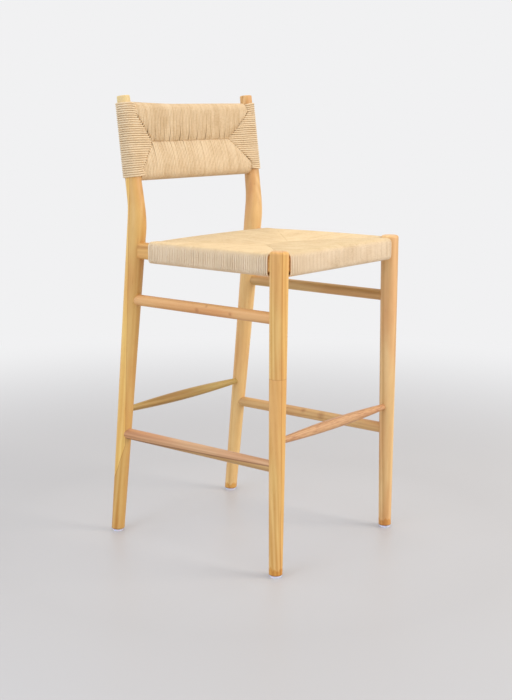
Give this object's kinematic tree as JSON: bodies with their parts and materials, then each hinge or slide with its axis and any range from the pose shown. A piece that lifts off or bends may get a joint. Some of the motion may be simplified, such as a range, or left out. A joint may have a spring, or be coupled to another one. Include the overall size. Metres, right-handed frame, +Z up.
{
  "type": "counter-height bar stool",
  "caption": "Counter-height stool with a turned light hardwood frame, a woven paper cord seat and low back, side stretchers and a swelled front footrest.",
  "frame": {"origin": "on the floor, in the middle of the part's outline", "axes": "+Z up, the sitter faces -Y, +X to the sitter's left"},
  "size_m": [0.4458, 0.4902, 0.97],
  "materials": {
    "oiled_wood": "light hardwood, turned and sanded, satin clear oil",
    "paper_cord": "twisted natural paper cord, uncoated",
    "card": "folded corrugated card",
    "glide_plastic": "moulded translucent pale plastic",
    "nail_steel": "bright drawn wire"
  },
  "bodies": {
    "root": {"front_right_leg": "oiled_wood", "front_left_leg": "oiled_wood", "rear_right_leg": "oiled_wood", "rear_left_leg": "oiled_wood", "seat_front_rail": "oiled_wood", "seat_rear_rail": "oiled_wood", "seat_right_rail": "oiled_wood", "seat_left_rail": "oiled_wood", "upper_right_stretcher": "oiled_wood", "upper_left_stretcher": "oiled_wood", "lower_right_stretcher": "oiled_wood", "lower_left_stretcher": "oiled_wood", "front_footrest": "oiled_wood", "rear_stretcher": "oiled_wood", "back_top_rail": "oiled_wood", "back_bottom_rail": "oiled_wood", "seat_weave": "paper_cord", "back_weave": "paper_cord", "seat_stuffing": "card", "front_right_glide": "glide_plastic", "front_left_glide": "glide_plastic", "rear_right_glide": "glide_plastic", "rear_left_glide": "glide_plastic", "glide_nails": "nail_steel"}
  },
  "joints": []
}
